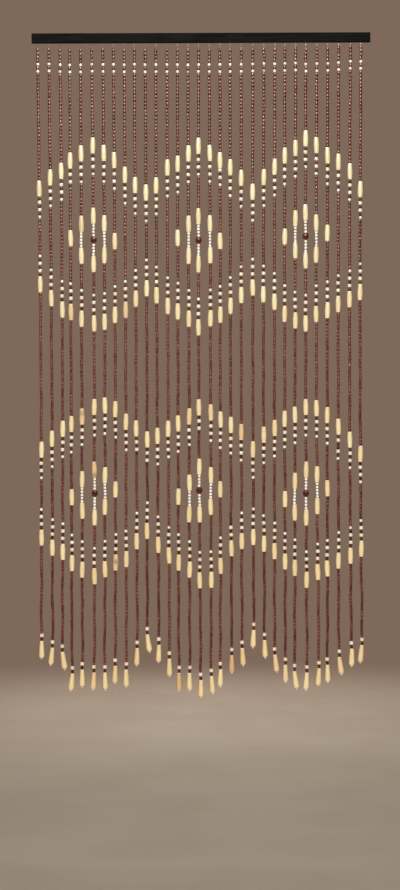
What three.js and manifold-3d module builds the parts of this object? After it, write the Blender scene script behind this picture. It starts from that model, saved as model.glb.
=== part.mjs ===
// Bead curtain with its hanging rail. Thirty-one beaded strings hang side by side under a black batten.
// Two rows of three diamonds lie between zigzag lines of long turned beads, and a drop ends each string.
// Millimetres, +Z up, front towards -Y, origin at the middle of the batten's back face.
// A depth is measured downwards from the batten's top face.

import * as THREE from "three";
import { mergeVertices } from "three/addons/utils/BufferGeometryUtils.js";
import Module from "manifold-3d";

const wasm = await Module();
wasm.setup();

// The batten, and the groove in its underside that takes the strings' root strip
const RAIL_LENGTH = 900;
const RAIL_DEPTH = 20;
const RAIL_HEIGHT = 25;
const RAIL_EDGE_RADIUS = 1.5;
const RAIL_EDGE_STEPS = 3;
const STRIP_LENGTH = 888;
const STRIP_WIDTH = 6.4;
const STRIP_HEIGHT = 6;
const CLEARANCE = 0.3;

// Where the strings hang
const FIRST_STRING_X = -437;
const STRING_PITCH = 28.8;
const CURTAIN_DEPTH = 1778;

// Each bead's length along the thread, with the play it has there
const LENGTHS = {
  red: 9.5,
  black: 10,
  white: 9.1,
  seed: 8.4,
  barrel: 9.6,
  long: 43,
  heart: 18,
  drop: 46,
  tip: 4.5,
};

// Half widths, at shares of a turned bead's length counted from its top
const THREAD_HALF_WIDTH = 1.5;
const STRING_HALF_WIDTH = 4;
const TURNED_SHAPES = {
  long: [[0, 5.1], [0.3, 6.9], [0.7, 6.9], [1, 5.1]],
  heart: [[0, 4.6], [0.3, 8.5], [0.7, 8.5], [1, 4.6]],
  drop: [[0, 4.9], [0.8, 7.5], [1, 6.2]],
  tip: [[0, 2.3], [1, 2.3]],
};

// The runs of beads that every string repeats
const CROWN = ["white", "red", "white"];
const CROWN_REDS = 4;
const ZIGZAG = ["long", "black", "barrel", "black", "barrel", "black", "white"];
const HEM = ["barrel", "black", "drop", "tip"];
const STRINGS_PER_DIAMOND = 10;
const FIRST_APEX = 5;
const SEEDS = Array(4).fill("seed");

// A diamond's beads on a string, by that string's distance from the diamond's middle
const DIAMOND = [
  ["long", ...SEEDS, "heart", ...SEEDS, "long"],
  ["long", ...SEEDS, "seed", "long"],
  ["long"],
];

// The stringing chart, a row for each string from the left.
// nudge, belly, foot: millimetres to the right of its even place at the batten, half way down and at the foot.
// thread: bare thread under the batten. swing: degrees that the drop leans to the right.
// crown, waist, tail: red beads above the upper zigzag pair, between the pairs and above the hem.
// upper, lower: red beads inside a pair, given as those above and below where a diamond lies between.
const CHART_COLUMNS = [
  "nudge", "thread", "crown", "upper", "waist", "lower", "tail", "belly", "foot", "swing",
];
const CHART = [
  [2, 13, 30, [10], 42, [8], 25, 4, 0, 0],
  [3, 12, 27, [17], 35, [14], 24, 3, 0, -5.5],
  [4, 14, 25, [22], 29, [18], 24, 3, -4, 8],
  [1, 15, 22, [11, 10], 27, [10, 8], 27, 0, -3, -6],
  [1, 15, 20, [9, 7], 23, [7, 6], 24, 0, -4, 0.5],
  [2, 13, 18, [9, 6], 19, [7, 6], 23, 3, -2, -3],
  [3, 14, 20, [9, 8], 19, [9, 7], 25, 2, -4, 2],
  [2, 14, 22, [12, 10], 22, [12, 10], 25, 2, -3, -1],
  [2, 15, 26, [21], 27, [22], 27, 1, -2, 0],
  [0, 14, 29, [15], 32, [15], 26, 1, 1, -2],
  [0, 15, 31, [10], 38, [9], 25, 2, -2, 8],
  [0, 15, 29, [14], 35, [14], 24, -1, 3, -2],
  [1, 15, 24, [22], 30, [19], 25, -1, 1, 0],
  [0, 15, 23, [10, 10], 27, [10, 8], 27, -1, -3, -1],
  [-1, 16, 20, [9, 7], 23, [8, 5], 25, 0, -1, 0],
  [-1, 15, 18, [9, 7], 18, [6, 8], 24, -3, 0, 1],
  [-2, 15, 20, [9, 7], 22, [7, 10], 23, 1, 0, 5],
  [-2, 15, 22, [13, 10], 25, [9, 11], 25, -1, -4, 0],
  [-4, 15, 24, [22], 29, [18], 26, -1, 0, 0],
  [-3, 15, 27, [16], 34, [14], 26, -2, -2, 3],
  [-1, 14, 31, [10], 41, [8], 22, -2, -1, -3],
  [0, 13, 27, [16], 35, [14], 23, -3, -2, 2],
  [0, 14, 24, [21], 31, [18], 25, -2, -4, 7],
  [-2, 13, 21, [12, 11], 25, [12, 7], 25, -2, -2, 0],
  [-2, 12, 19, [9, 9], 22, [8, 5], 25, -2, -6, 7],
  [-4, 15, 16, [10, 7], 19, [7, 7], 22, -2, 1, -3],
  [-3, 14, 18, [11, 6], 22, [8, 8], 23, -4, 4, -4],
  [-3, 13, 21, [11, 11], 25, [10, 12], 23, -2, -3, 2],
  [-3, 11, 23, [23], 30, [20], 23, -2, -1, 8],
  [0, 8, 26, [19], 35, [16], 22, -4, 2, 0],
  [-1, 8, 31, [12], 41, [10], 23, -4, 3, -7],
];

// Slips in the stringing: the beads found at a place of a string's zigzag run, in place of the usual one
const SLIPS = [
  { string: 4, zigzag: 1, place: 7, beads: ["red"] },
  { string: 10, zigzag: 3, place: 7, beads: ["red"] },
  { string: 11, zigzag: 3, place: 7, beads: ["red"] },
  { string: 16, zigzag: 3, place: 7, beads: ["red"] },
  { string: 18, zigzag: 1, place: 2, beads: [] },
  { string: 19, zigzag: 4, place: 7, beads: ["red"] },
  { string: 29, zigzag: 3, place: 4, beads: ["black", "black"] },
];

// A chart row as an object with its column names and its number
function chartRow(values, index) {
  const row = Object.fromEntries(CHART_COLUMNS.map((name, column) => [name, values[column]]));
  row.number = index + 1;
  return row;
}

// How many strings a string lies from the middle of the nearest diamond
function distanceFromApex(row) {
  const place = (row.number - 1) % STRINGS_PER_DIAMOND;
  return Math.abs(place - FIRST_APEX);
}

// One run of a zigzag line, from its long bead to its white one, with any slips in it
function zigzagRun(row, zigzag) {
  const slips = SLIPS.filter((slip) => slip.string === row.number && slip.zigzag === zigzag);
  return ZIGZAG.flatMap((bead, index) => {
    const slip = slips.find((entry) => entry.place === index + 1);
    return slip ? slip.beads : [bead];
  });
}

function reds(count) {
  return Array(count).fill("red");
}

// What lies between the two zigzag lines of a pair
function field(row, counts) {
  if (counts.length === 1) {
    return reds(counts[0]);
  }
  return [...reds(counts[0]), ...DIAMOND[distanceFromApex(row)], ...reds(counts[1])];
}

// All the beads of a string, from the batten down
function beadsOf(row) {
  return [
    ...reds(CROWN_REDS),
    ...CROWN,
    ...reds(row.crown),
    ...zigzagRun(row, 1),
    ...field(row, row.upper),
    ...zigzagRun(row, 2).reverse(),
    ...reds(row.waist),
    ...zigzagRun(row, 3),
    ...field(row, row.lower),
    ...zigzagRun(row, 4).reverse(),
    ...reds(row.tail),
    ...HEM,
  ];
}

// Sideways place of a string at a depth: a shallow belly, and a foot that wanders off
function stringX(row, depth) {
  const share = depth / CURTAIN_DEPTH;
  const evenX = FIRST_STRING_X + STRING_PITCH * (row.number - 1) + row.nudge;
  return evenX + row.belly * Math.sin(Math.PI * share) + row.foot * share * share;
}

// The string's outline as [half width, depth] pairs. Small beads share one plain width, and turned ones swell.
function stringOutline(row) {
  const firstBeadDepth = RAIL_HEIGHT + row.thread;
  const outline = [
    [THREAD_HALF_WIDTH, RAIL_HEIGHT - STRIP_HEIGHT / 2],
    [THREAD_HALF_WIDTH, firstBeadDepth],
    [STRING_HALF_WIDTH, firstBeadDepth],
  ];
  let depth = firstBeadDepth;
  let dropDepth = depth;
  let plain = true;
  for (const bead of beadsOf(row)) {
    const length = LENGTHS[bead];
    const shape = TURNED_SHAPES[bead];
    if (shape && plain) {
      outline.push([STRING_HALF_WIDTH, depth]);
    }
    if (shape) {
      outline.push(...shape.map(([share, halfWidth]) => [halfWidth, depth + share * length]));
    }
    if (!shape && !plain) {
      outline.push([STRING_HALF_WIDTH, depth]);
    }
    if (bead === "drop") {
      dropDepth = depth;
    }
    plain = !shape;
    depth += length;
  }
  return { outline, dropDepth };
}

// A closed geometry as a solid, with its vertices merged and its empty triangles left out
function solidOf(geometry) {
  const bare = geometry.clone();
  bare.deleteAttribute("normal");
  bare.deleteAttribute("uv");
  const merged = mergeVertices(bare, 1e-3);
  const corners = merged.index.array;
  const kept = [];
  for (let i = 0; i < corners.length; i += 3) {
    const [a, b, c] = [corners[i], corners[i + 1], corners[i + 2]];
    if (a !== b && b !== c && c !== a) {
      kept.push(a, b, c);
    }
  }
  const mesh = new wasm.Mesh({
    numProp: 3,
    vertProperties: new Float32Array(merged.attributes.position.array),
    triVerts: new Uint32Array(kept),
  });
  return new wasm.Manifold(mesh);
}

// A solid back as a geometry
function geometryOf(solid) {
  const mesh = solid.getMesh();
  const geometry = new THREE.BufferGeometry();
  geometry.setAttribute("position", new THREE.BufferAttribute(mesh.vertProperties, 3));
  geometry.setIndex(new THREE.BufferAttribute(mesh.triVerts, 1));
  return geometry;
}

// A box given by its size and the middle of its underside
function boxOn(length, width, height, x, y, z) {
  const geometry = new THREE.BoxGeometry(length, width, height);
  geometry.translate(x, y, z + height / 2);
  return geometry;
}

// A string of square section that follows its outline down its own sideways path.
// The drop at its end leans by the swing about the point where it hangs.
function stringGeometry(row) {
  const { outline, dropDepth } = stringOutline(row);
  const top = RAIL_HEIGHT / 2;
  const corners = outline.map(([halfWidth, depth]) => {
    return new THREE.Vector2(halfWidth * Math.SQRT2, top - depth);
  });
  const first = corners[0];
  const last = corners[corners.length - 1];
  const profile = [new THREE.Vector2(0, last.y), ...corners.reverse(), new THREE.Vector2(0, first.y)];
  const geometry = new THREE.LatheGeometry(profile, 4, Math.PI / 4);
  geometry.rotateX(Math.PI / 2);
  const lean = Math.tan(THREE.MathUtils.degToRad(row.swing));
  const positions = geometry.attributes.position;
  for (let i = 0; i < positions.count; i += 1) {
    const depth = top - positions.getZ(i);
    const hanging = Math.max(0, depth - dropDepth);
    positions.setX(i, positions.getX(i) + stringX(row, depth) + lean * hanging);
    positions.setY(i, positions.getY(i) - RAIL_DEPTH / 2);
  }
  return geometry;
}

// All strings fused at their roots into the narrow strip that holds them
function stringsGeometry() {
  const underside = -RAIL_HEIGHT / 2;
  const strip = boxOn(STRIP_LENGTH, STRIP_WIDTH, STRIP_HEIGHT, 0, -RAIL_DEPTH / 2, underside);
  const strings = CHART.map((values, index) => solidOf(stringGeometry(chartRow(values, index))));
  return geometryOf(strings.reduce((whole, string) => whole.add(string), solidOf(strip)));
}

// The batten: a rectangle with rounded long edges, grooved from below
function railGeometry() {
  const radius = RAIL_EDGE_RADIUS;
  const halfDepth = RAIL_DEPTH / 2;
  const halfHeight = RAIL_HEIGHT / 2;
  const section = new THREE.Shape();
  section.absarc(halfDepth - radius, halfHeight - radius, radius, 0, Math.PI / 2);
  section.absarc(radius - halfDepth, halfHeight - radius, radius, Math.PI / 2, Math.PI);
  section.absarc(radius - halfDepth, radius - halfHeight, radius, Math.PI, 1.5 * Math.PI);
  section.absarc(halfDepth - radius, radius - halfHeight, radius, 1.5 * Math.PI, 2 * Math.PI);
  const bar = new THREE.ExtrudeGeometry(section, {
    depth: RAIL_LENGTH,
    bevelEnabled: false,
    curveSegments: RAIL_EDGE_STEPS,
  });
  bar.translate(0, 0, -RAIL_LENGTH / 2);
  bar.rotateX(Math.PI / 2);
  bar.rotateZ(Math.PI / 2);
  bar.translate(0, -halfDepth, 0);
  const groove = boxOn(
    STRIP_LENGTH + 2 * CLEARANCE,
    STRIP_WIDTH + 2 * CLEARANCE,
    STRIP_HEIGHT + CLEARANCE + RAIL_HEIGHT,
    0,
    -halfDepth,
    -halfHeight - RAIL_HEIGHT,
  );
  return geometryOf(solidOf(bar).subtract(solidOf(groove)));
}

function named(name, geometry, material) {
  const mesh = new THREE.Mesh(geometry, material);
  mesh.name = name;
  return mesh;
}

const blackPaint = new THREE.MeshStandardMaterial({ color: 0x1c2020, roughness: 0.6, metalness: 0 });
const redBead = new THREE.MeshStandardMaterial({ color: 0x6e2a22, roughness: 0.4, metalness: 0 });

const group = new THREE.Group();
group.add(named("rail", railGeometry(), blackPaint));
group.add(named("strings", stringsGeometry(), redBead));

export default group;
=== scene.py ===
"""Bead curtain under a black batten: thirty-one threads strung with small turned beads.

Two rows of three diamonds lie between zigzag lines of long pale beads, on a ground of small red beads,
and a drop ends each string. Metres, +Z up, front towards -Y, origin at the middle of the batten's back
face. A depth is measured downwards from the batten's top face.
"""

import logging
from dataclasses import dataclass
from enum import Enum
from typing import Any

import bpy
import numpy as np
from mathutils import Matrix, Vector


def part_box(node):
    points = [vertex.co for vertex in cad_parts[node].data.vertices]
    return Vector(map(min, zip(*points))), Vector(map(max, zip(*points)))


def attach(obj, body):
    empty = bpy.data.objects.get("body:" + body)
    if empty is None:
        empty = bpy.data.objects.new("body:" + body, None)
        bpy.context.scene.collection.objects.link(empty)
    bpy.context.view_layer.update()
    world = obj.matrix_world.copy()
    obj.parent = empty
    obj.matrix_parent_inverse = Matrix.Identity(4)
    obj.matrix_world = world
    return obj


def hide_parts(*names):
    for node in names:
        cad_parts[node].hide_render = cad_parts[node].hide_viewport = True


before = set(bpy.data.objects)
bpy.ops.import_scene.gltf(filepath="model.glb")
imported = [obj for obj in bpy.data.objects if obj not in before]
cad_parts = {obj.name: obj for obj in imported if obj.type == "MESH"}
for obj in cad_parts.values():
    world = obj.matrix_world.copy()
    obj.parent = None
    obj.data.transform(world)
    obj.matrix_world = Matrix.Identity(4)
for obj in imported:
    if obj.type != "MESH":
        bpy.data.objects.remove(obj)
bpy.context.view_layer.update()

LOG = logging.getLogger("bead_curtain")
BODY = "root"
RAIL_NODE = "rail"
STRINGS_NODE = "strings"
ATLAS = "OFBake"
ATLAS_MIDDLE = 0.5
MM = 0.001
SEED = 31

# Where the strings hang, as on the batten's drawing
FIRST_STRING_X = -0.437
STRING_PITCH = 0.0288
CURTAIN_DEPTH = 1.778
RAIL_LOW, RAIL_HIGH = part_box(RAIL_NODE)
RAIL_TOP = RAIL_HIGH.z
RAIL_HEIGHT = RAIL_HIGH.z - RAIL_LOW.z
RAIL_DEPTH = RAIL_HIGH.y - RAIL_LOW.y
RAIL_MIDDLE_Z = (RAIL_LOW.z + RAIL_HIGH.z) / 2
STRINGS_Y = (RAIL_LOW.y + RAIL_HIGH.y) / 2

# How far a string strays from its smooth line: at the batten, and what its slack adds at the foot
WANDER_TOP = 0.0002
WANDER_FOOT = 0.0012
WANDER_POWER = 1.4

# Least and greatest lengths of the short and long waves that it strays in, and the share of each wave
SHORT_WAVES = (0.11, 0.17)
LONG_WAVES = (0.22, 0.4)
SHORT_SHARE = 0.6
LONG_SHARE = 0.4

# Its stray front to back as a share of that sideways, and how far off the middle it may be tied
SWAY_DEPTH = 0.7
TIED_OFF = 0.0005

# How many spreads from the middle a drawn value may lie
FURTHEST = 2.0

# Share of a bead's length over which a knot fades, and of its hole's length that the map keeps
KNOT_REACH = 0.13
HOLE_ON_MAP = 0.1

STRINGS_PER_DIAMOND = 10
FIRST_APEX = 5

Colour = tuple[float, float, float]
Span = tuple[float, float]
Socket = bpy.types.NodeSocket


def shade(red: int, green: int, blue: int) -> Colour:
    """Turns a screen colour, 0 to 255 each, into the linear one that shaders take.

    Args:
        red: the red part.
        green: the green part.
        blue: the blue part.

    Returns:
        The linear colour: (v / 12.92) below 0.04045 and ((v + 0.055) / 1.055) ** 2.4 above it.
    """
    screen = np.array((red, green, blue)) / 255.0
    linear = np.where(screen < 0.04045, screen / 12.92, ((screen + 0.055) / 1.055) ** 2.4)
    return tuple(float(v) for v in linear)


class Bead(Enum):
    """The kinds of bead on a string."""

    RED = "red"
    BLACK = "black"
    WHITE = "white"
    SEED = "seed"
    BARREL = "barrel"
    LONG = "long"
    HEART = "heart"
    DROP = "drop"
    TIP = "tip"


class Zone(Enum):
    """The part of the pattern that a bead belongs to."""

    GROUND = "ground"
    CROWN = "crown"
    ZIGZAG = "zigzag"
    DIAMOND = "diamond"
    HEM = "hem"


class Panel(Enum):
    """The curtain's thirds, as the first and the last string of each."""

    LEFT = (1, 10)
    MIDDLE = (11, 20)
    RIGHT = (21, 31)


# Each bead's length along the thread, with the play it has there
PITCHES = {
    Bead.RED: 0.0095,
    Bead.BLACK: 0.0100,
    Bead.WHITE: 0.0091,
    Bead.SEED: 0.0084,
    Bead.BARREL: 0.0096,
    Bead.LONG: 0.0430,
    Bead.HEART: 0.0180,
    Bead.DROP: 0.0460,
    Bead.TIP: 0.0045,
}

# The runs of beads that every string repeats
CROWN_REDS = 4
CROWN = (Bead.WHITE, Bead.RED, Bead.WHITE)
ZIGZAG = (Bead.LONG, Bead.BLACK, Bead.BARREL, Bead.BLACK, Bead.BARREL, Bead.BLACK, Bead.WHITE)
HEM = (Bead.BARREL, Bead.BLACK, Bead.DROP, Bead.TIP)
SEEDS = (Bead.SEED,) * 4

# A diamond's beads on a string, by that string's distance from the diamond's middle
DIAMOND = (
    (Bead.LONG, *SEEDS, Bead.HEART, *SEEDS, Bead.LONG),
    (Bead.LONG, *SEEDS, Bead.SEED, Bead.LONG),
    (Bead.LONG,),
)


@dataclass(frozen=True)
class StringRow:
    """One row of the stringing chart.

    Attributes:
        nudge: millimetres to the right of the string's even place.
        thread: millimetres of bare thread under the batten.
        crown: red beads above the upper zigzag pair.
        upper: red beads inside the upper pair, or those above and below its diamond.
        waist: red beads between the pairs.
        lower: red beads inside the lower pair, or those above and below its diamond.
        tail: red beads above the hem.
        belly: millimetres to the right half way down.
        foot: millimetres to the right at the foot.
        swing: degrees that the drop leans to the right.
    """

    nudge: int
    thread: int
    crown: int
    upper: tuple[int, ...]
    waist: int
    lower: tuple[int, ...]
    tail: int
    belly: int
    foot: int
    swing: float


CHART = (
    StringRow(2, 13, 30, (10,), 42, (8,), 25, 4, 0, 0.0),
    StringRow(3, 12, 27, (17,), 35, (14,), 24, 3, 0, -5.5),
    StringRow(4, 14, 25, (22,), 29, (18,), 24, 3, -4, 8.0),
    StringRow(1, 15, 22, (11, 10), 27, (10, 8), 27, 0, -3, -6.0),
    StringRow(1, 15, 20, (9, 7), 23, (7, 6), 24, 0, -4, 0.5),
    StringRow(2, 13, 18, (9, 6), 19, (7, 6), 23, 3, -2, -3.0),
    StringRow(3, 14, 20, (9, 8), 19, (9, 7), 25, 2, -4, 2.0),
    StringRow(2, 14, 22, (12, 10), 22, (12, 10), 25, 2, -3, -1.0),
    StringRow(2, 15, 26, (21,), 27, (22,), 27, 1, -2, 0.0),
    StringRow(0, 14, 29, (15,), 32, (15,), 26, 1, 1, -2.0),
    StringRow(0, 15, 31, (10,), 38, (9,), 25, 2, -2, 8.0),
    StringRow(0, 15, 29, (14,), 35, (14,), 24, -1, 3, -2.0),
    StringRow(1, 15, 24, (22,), 30, (19,), 25, -1, 1, 0.0),
    StringRow(0, 15, 23, (10, 10), 27, (10, 8), 27, -1, -3, -1.0),
    StringRow(-1, 16, 20, (9, 7), 23, (8, 5), 25, 0, -1, 0.0),
    StringRow(-1, 15, 18, (9, 7), 18, (6, 8), 24, -3, 0, 1.0),
    StringRow(-2, 15, 20, (9, 7), 22, (7, 10), 23, 1, 0, 5.0),
    StringRow(-2, 15, 22, (13, 10), 25, (9, 11), 25, -1, -4, 0.0),
    StringRow(-4, 15, 24, (22,), 29, (18,), 26, -1, 0, 0.0),
    StringRow(-3, 15, 27, (16,), 34, (14,), 26, -2, -2, 3.0),
    StringRow(-1, 14, 31, (10,), 41, (8,), 22, -2, -1, -3.0),
    StringRow(0, 13, 27, (16,), 35, (14,), 23, -3, -2, 2.0),
    StringRow(0, 14, 24, (21,), 31, (18,), 25, -2, -4, 7.0),
    StringRow(-2, 13, 21, (12, 11), 25, (12, 7), 25, -2, -2, 0.0),
    StringRow(-2, 12, 19, (9, 9), 22, (8, 5), 25, -2, -6, 7.0),
    StringRow(-4, 15, 16, (10, 7), 19, (7, 7), 22, -2, 1, -3.0),
    StringRow(-3, 14, 18, (11, 6), 22, (8, 8), 23, -4, 4, -4.0),
    StringRow(-3, 13, 21, (11, 11), 25, (10, 12), 23, -2, -3, 2.0),
    StringRow(-3, 11, 23, (23,), 30, (20,), 23, -2, -1, 8.0),
    StringRow(0, 8, 26, (19,), 35, (16,), 22, -4, 2, 0.0),
    StringRow(-1, 8, 31, (12,), 41, (10,), 23, -4, 3, -7.0),
)


@dataclass(frozen=True)
class Slip:
    """A slip in the stringing: what is found at one place of a string's zigzag run.

    Attributes:
        number: the string's number from the left.
        line: the zigzag line from the top.
        place: the place in the run, counted from its long bead.
        beads: the beads there, in place of the usual one.
    """

    number: int
    line: int
    place: int
    beads: tuple[Bead, ...]


SLIPS = (
    Slip(4, 1, 7, (Bead.RED,)),
    Slip(10, 3, 7, (Bead.RED,)),
    Slip(11, 3, 7, (Bead.RED,)),
    Slip(16, 3, 7, (Bead.RED,)),
    Slip(18, 1, 2, ()),
    Slip(19, 4, 7, (Bead.RED,)),
    Slip(29, 3, 4, (Bead.BLACK, Bead.BLACK)),
)


@dataclass(frozen=True)
class OddBead:
    """A bead that stands out by its colour or figure.

    Attributes:
        number: the string's number from the left.
        zone: the part of the pattern.
        line: the zigzag line or row of diamonds, from the top.
        place: the place in the run, from the long bead or the run's upper end.
        tint: how far its colour goes to tan, 0 to 1.
        figure: how dark its knot is, 0 to 1.
        height: share of its length, from the top, where the knot lies.
    """

    number: int
    zone: Zone
    line: int
    place: int
    tint: float
    figure: float = 0.0
    height: float = 0.5


ODD_BEADS = (
    OddBead(4, Zone.ZIGZAG, 2, 1, 0.55),
    OddBead(5, Zone.DIAMOND, 1, 1, 0.45),
    OddBead(5, Zone.ZIGZAG, 3, 1, 0.5, 0.8, 0.3),
    OddBead(6, Zone.DIAMOND, 2, 1, 0.6, 0.9, 0.85),
    OddBead(8, Zone.ZIGZAG, 4, 1, 0.5, 1.0, 0.45),
    OddBead(9, Zone.ZIGZAG, 2, 1, 0.55),
    OddBead(14, Zone.HEM, 1, 3, 0.8),
    OddBead(15, Zone.CROWN, 1, 3, 0.9),
    OddBead(15, Zone.ZIGZAG, 3, 1, 0.4),
    OddBead(17, Zone.ZIGZAG, 3, 1, 0.4),
    OddBead(19, Zone.HEM, 1, 3, 0.8),
    OddBead(20, Zone.ZIGZAG, 3, 1, 0.6),
    OddBead(22, Zone.CROWN, 1, 3, 0.7),
    OddBead(31, Zone.HEM, 1, 3, 0.3),
)


@dataclass(frozen=True)
class Strung:
    """A bead in its string's order.

    Attributes:
        bead: its kind.
        zone: the part of the pattern.
        line: the zigzag line or row of diamonds, from the top.
        place: its place in that run.
    """

    bead: Bead
    zone: Zone = Zone.GROUND
    line: int = 1
    place: int = 1


def run_of(beads: tuple[Bead, ...], zone: Zone, line: int = 1) -> list[Strung]:
    """Numbers the beads of a run.

    Args:
        beads: the run's beads.
        zone: the part of the pattern.
        line: the zigzag line or row of diamonds.

    Returns:
        The run, with places counted from 1.
    """
    return [Strung(bead, zone, line, index + 1) for index, bead in enumerate(beads)]


def reds(count: int) -> list[Strung]:
    """Returns a run of that many red beads."""
    return [Strung(Bead.RED)] * count


def zigzag_run(number: int, line: int) -> list[Strung]:
    """Strings one run of a zigzag line, with any slips in it.

    Args:
        number: the string's number.
        line: the zigzag line from the top. Every second one is strung upwards.

    Returns:
        The run from the top down.
    """
    run = []
    for strung in run_of(ZIGZAG, Zone.ZIGZAG, line):
        slips = [s for s in SLIPS if (s.number, s.line, s.place) == (number, line, strung.place)]
        beads = slips[0].beads if slips else (strung.bead,)
        run.extend(Strung(bead, Zone.ZIGZAG, line, strung.place) for bead in beads)
    return run[::-1] if line % 2 == 0 else run


def field_run(number: int, counts: tuple[int, ...], line: int) -> list[Strung]:
    """Strings what lies between the two zigzag lines of a pair.

    Args:
        number: the string's number.
        counts: red beads there, or those above and below the diamond.
        line: the row of diamonds from the top.

    Returns:
        The run from the top down.
    """
    if len(counts) == 1:
        return reds(counts[0])
    distance = abs((number - 1) % STRINGS_PER_DIAMOND - FIRST_APEX)
    return reds(counts[0]) + run_of(DIAMOND[distance], Zone.DIAMOND, line) + reds(counts[1])


def beads_of(number: int, row: StringRow) -> list[Strung]:
    """Lists all the beads of a string.

    Args:
        number: the string's number.
        row: its row of the chart.

    Returns:
        The beads from the batten down.
    """
    return (
        reds(CROWN_REDS)
        + run_of(CROWN, Zone.CROWN)
        + reds(row.crown)
        + zigzag_run(number, 1)
        + field_run(number, row.upper, 1)
        + zigzag_run(number, 2)
        + reds(row.waist)
        + zigzag_run(number, 3)
        + field_run(number, row.lower, 2)
        + zigzag_run(number, 4)
        + reds(row.tail)
        + run_of(HEM, Zone.HEM)
    )


class HangingLine:
    """The line that a string hangs on, from the batten to its tip."""

    def __init__(self, number: int, row: StringRow, drop_depth: float) -> None:
        """Draws the line's waves from a seed of its own.

        Args:
            number: the string's number.
            row: its row of the chart.
            drop_depth: the depth at which its drop hangs.
        """
        self.number = number
        self.row = row
        self.drop_depth = drop_depth
        draw = np.random.default_rng((SEED, number))
        self.waves = np.array((draw.uniform(*SHORT_WAVES, 2), draw.uniform(*LONG_WAVES, 2)))
        self.phases = draw.uniform(0.0, 2 * np.pi, (2, 2))
        self.offset_y = draw.uniform(-TIED_OFF, TIED_OFF)

    def wander(self, depth: np.ndarray, axis: int) -> np.ndarray:
        """Strays from the smooth line by a short and a long wave that grow towards the slack foot.

        Args:
            depth: depths below the batten's top.
            axis: 0 for sideways and 1 for front to back.

        Returns:
            The stray at each depth: both waves' sines, each times its share, added up, times
            (top + foot * share down ** power).
        """
        share = depth / CURTAIN_DEPTH
        turns = 2 * np.pi * depth / self.waves[:, axis, None] + self.phases[:, axis, None]
        mixed = SHORT_SHARE * np.sin(turns[0]) + LONG_SHARE * np.sin(turns[1])
        return mixed * (WANDER_TOP + WANDER_FOOT * share ** WANDER_POWER)

    def points(self, depth: np.ndarray) -> np.ndarray:
        """Places points of the line.

        Sideways: even place + nudge + belly * sin(pi * share) + foot * share ** 2 + stray, and below the
        drop's upper end the lean of the drop.

        Args:
            depth: depths below the batten's top, in metres.

        Returns:
            The points, one row of x, y, z for each depth.
        """
        row = self.row
        share = depth / CURTAIN_DEPTH
        held = np.minimum(depth, self.drop_depth)
        even = FIRST_STRING_X + STRING_PITCH * (self.number - 1) + row.nudge * MM
        bend = (row.belly * np.sin(np.pi * share) + row.foot * share ** 2) * MM
        lean = np.tan(np.radians(row.swing)) * (depth - held)
        x = even + bend + lean + self.wander(held, 0)
        y = STRINGS_Y + self.offset_y + SWAY_DEPTH * self.wander(held, 1)
        return np.stack((x, y, RAIL_TOP - depth), axis=-1)


@dataclass
class Spots:
    """Where beads sit, as arrays with one entry for each bead.

    Attributes:
        number: string numbers.
        line: zigzag lines or rows of diamonds.
        place: places in the run.
        head: upper ends of the room that each bead takes, (n, 3).
        foot: lower ends of that room, (n, 3).
    """

    number: np.ndarray
    line: np.ndarray
    place: np.ndarray
    head: np.ndarray
    foot: np.ndarray

    def share_down(self) -> np.ndarray:
        """Returns each bead's depth as a share of the curtain's drop."""
        return (RAIL_TOP - self.head[:, 2]) / CURTAIN_DEPTH

    def odd(self, zone: Zone, name: str) -> np.ndarray:
        """Reads one value of the odd beads among these.

        Args:
            zone: the part of the pattern that these beads belong to.
            name: the value's name in OddBead.

        Returns:
            The value for each bead, 0 where the bead isn't an odd one.
        """
        values = np.zeros(len(self.number))
        for entry in (o for o in ODD_BEADS if o.zone is zone):
            same_run = (self.number == entry.number) & (self.line == entry.line)
            values[same_run & (self.place == entry.place)] = getattr(entry, name)
        return values


class Stringing:
    """All the beads of the curtain in their places."""

    def __init__(self) -> None:
        """Strings the chart's rows from the left."""
        self.lines: list[HangingLine] = []
        self.ends: list[float] = []
        self.rows: dict[tuple[Bead, Zone], list[tuple]] = {}
        for index, row in enumerate(CHART):
            self.string_up(index + 1, row)

    def string_up(self, number: int, row: StringRow) -> None:
        """Adds one string's beads.

        Args:
            number: the string's number.
            row: its row of the chart.
        """
        beads = beads_of(number, row)
        pitches = np.array([PITCHES[strung.bead] for strung in beads])
        first = RAIL_HEIGHT + row.thread * MM
        depths = first + np.concatenate(((0.0,), np.cumsum(pitches)))
        drop = [strung.bead for strung in beads].index(Bead.DROP)
        line = HangingLine(number, row, depths[drop])
        points = line.points(depths)
        self.lines.append(line)
        self.ends.append(float(depths[-1]))
        for strung, head, foot in zip(beads, points[:-1], points[1:]):
            entry = (number, strung.line, strung.place, head, foot)
            self.rows.setdefault((strung.bead, strung.zone), []).append(entry)

    def spots(self, bead: Bead, zones: tuple[Zone, ...], panel: Panel | None = None) -> Spots:
        """Gathers the beads of a kind.

        Args:
            bead: the kind.
            zones: the parts of the pattern to take them from.
            panel: the third of the curtain, or None for the whole width.

        Returns:
            Their places as arrays.
        """
        rows = [entry for zone in zones for entry in self.rows.get((bead, zone), [])]
        if panel is not None:
            first, last = panel.value
            rows = [entry for entry in rows if first <= entry[0] <= last]
        return Spots(*(np.array(column) for column in zip(*rows)))


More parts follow.
